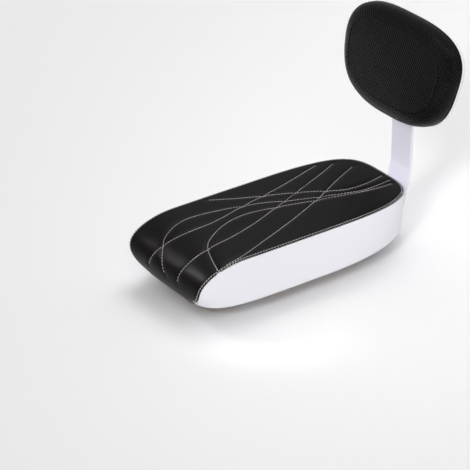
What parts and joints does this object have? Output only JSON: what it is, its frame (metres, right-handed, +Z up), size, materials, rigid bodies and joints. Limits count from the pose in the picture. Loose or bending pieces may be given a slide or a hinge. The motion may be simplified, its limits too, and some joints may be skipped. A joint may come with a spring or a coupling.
{
  "type": "rear rack cushion seat",
  "caption": "Padded passenger seat with a low backrest on a bent flat bar, held on a carrier's two rails by clamp plates underneath.",
  "frame": {"origin": "on the flat underside of the bar's leg, midway between the two rail clamps", "axes": "+Z up, -Y to the front of the seat, +Y to the backrest, X across"},
  "size_m": [0.2046, 0.3859, 0.2876],
  "materials": {
    "plywood": "matte",
    "foam": "matte",
    "black_leathercloth": "satin",
    "black_perforated_leathercloth": "satin",
    "white_leathercloth": "satin",
    "pale_thread": "matte",
    "white_paint": "gloss",
    "zinc_steel": "satin",
    "zinc_plate": "satin"
  },
  "bodies": {
    "root": {"seat_base_board": "plywood", "seat_foam": "foam", "seat_top_panel": "black_leathercloth", "seat_side_band": "white_leathercloth", "seat_stitch_lines": "pale_thread", "seat_cover_staples": "zinc_steel", "seat_tee_nuts": "zinc_steel", "backrest_bar": "white_paint", "bar_leg_screws": "zinc_steel", "front_clamp_plate": "zinc_plate", "rear_clamp_plate": "zinc_plate", "clamp_bolts": "zinc_steel", "clamp_washers": "zinc_steel", "clamp_spring_washers": "zinc_steel", "backrest_board": "plywood", "backrest_foam": "foam", "backrest_front_cover": "black_perforated_leathercloth", "backrest_back_cover": "white_leathercloth", "backrest_tee_nuts": "zinc_steel", "backrest_bolts": "zinc_steel", "backrest_washers": "zinc_steel"}
  },
  "joints": []
}
